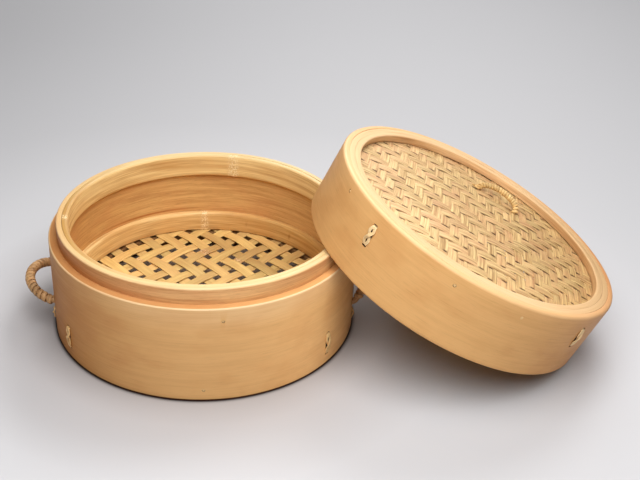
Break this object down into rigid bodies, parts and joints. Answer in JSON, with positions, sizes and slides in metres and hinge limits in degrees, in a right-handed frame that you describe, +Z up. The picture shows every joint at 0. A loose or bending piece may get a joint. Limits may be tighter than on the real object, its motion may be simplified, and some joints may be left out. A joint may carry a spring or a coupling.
{
  "type": "steamer basket",
  "caption": "Round bent-wood steamer tier with a woven bamboo floor, wound side handles and a woven lid that leans on its rim.",
  "frame": {"origin": "centre of the bounding box of the basket with its lid, at the level of the surface that both stand on", "axes": "+Z up; +X from the basket towards the lid that leans on it; +Y completes a right-handed frame, away from the camera"},
  "size_m": [0.5816, 0.3, 0.1857],
  "materials": {
    "band_wood": "satin",
    "lip_wood": "satin",
    "hoop_bamboo": "satin",
    "strip_bamboo": "satin",
    "cane": "satin"
  },
  "bodies": {
    "basket": {"floor_warp_01": "strip_bamboo", "floor_warp_02": "strip_bamboo", "floor_warp_03": "strip_bamboo", "floor_warp_04": "strip_bamboo", "floor_warp_05": "strip_bamboo", "floor_warp_06": "strip_bamboo", "floor_warp_07": "strip_bamboo", "floor_warp_08": "strip_bamboo", "floor_warp_09": "strip_bamboo", "floor_warp_10": "strip_bamboo", "floor_warp_11": "strip_bamboo", "floor_warp_12": "strip_bamboo", "floor_warp_13": "strip_bamboo", "floor_weft_01": "strip_bamboo", "floor_weft_02": "strip_bamboo", "floor_weft_03": "strip_bamboo", "floor_weft_04": "strip_bamboo", "floor_weft_05": "strip_bamboo", "floor_weft_06": "strip_bamboo", "floor_weft_07": "strip_bamboo", "floor_weft_08": "strip_bamboo", "floor_weft_09": "strip_bamboo", "floor_weft_10": "strip_bamboo", "floor_weft_11": "strip_bamboo", "floor_weft_12": "strip_bamboo", "floor_weft_13": "strip_bamboo", "floor_weft_14": "strip_bamboo", "foot_hoop": "hoop_bamboo", "handle_tie_1": "cane", "handle_tie_2": "cane", "handle_tie_3": "cane", "handle_tie_4": "cane", "inner_band": "lip_wood", "lashing_1": "cane", "lashing_2": "cane", "lower_hoop": "hoop_bamboo", "outer_band": "band_wood", "upper_hoop": "hoop_bamboo"},
    "left_handle": {"left_handle_core": "cane", "left_handle_winding": "cane"},
    "right_handle": {"right_handle_core": "cane", "right_handle_winding": "cane"},
    "lid_pegs": {"lid_peg_1": "hoop_bamboo", "lid_peg_2": "hoop_bamboo"},
    "lid": {"lid_backing_bar": "hoop_bamboo", "lid_clamp_hoop": "hoop_bamboo", "lid_inner_band": "band_wood", "lid_lashing_1": "cane", "lid_lashing_2": "cane", "lid_lashing_3": "cane", "lid_lashing_4": "cane", "lid_mat": "strip_bamboo", "lid_outer_band": "band_wood", "lid_rim_hoop": "band_wood"},
    "lid_handle": {"lid_handle_core": "cane", "lid_handle_winding": "cane"}
  },
  "joints": [
    {"name": "left_handle_hinge", "type": "hinge", "parent": "basket", "child": "left_handle", "pos_m": [-0.25446, -0.0114, 0.032], "axis": [0.0802, -0.9968, 0], "range_deg": [-8, 8]},
    {"name": "right_handle_hinge", "type": "hinge", "parent": "basket", "child": "right_handle", "pos_m": [0.02892, 0.0114, 0.032], "axis": [-0.0802, 0.9968, 0], "range_deg": [-8, 8]},
    {"name": "lid_swing", "type": "hinge", "parent": "basket", "child": "lid_pegs", "pos_m": [0.04787, 0, 0.1565], "axis": [0, -1, 0], "range_deg": [0, 202.62]},
    {"name": "lid_level", "type": "hinge", "parent": "lid_pegs", "child": "lid", "pos_m": [0.17307, 0, 0.10433], "axis": [0, -1, 0], "range_deg": [-178.43, 0]},
    {"name": "lid_handle_hinge", "type": "hinge", "parent": "lid", "child": "lid_handle", "pos_m": [0.18288, 0.06921, 0.1048], "axis": [0.8198, -0.4384, -0.3684], "range_deg": [-8, 8]}
  ],
  "couplings": [
    {"joint": "lid_level", "follows": "lid_swing", "ratio": -0.88057}
  ]
}
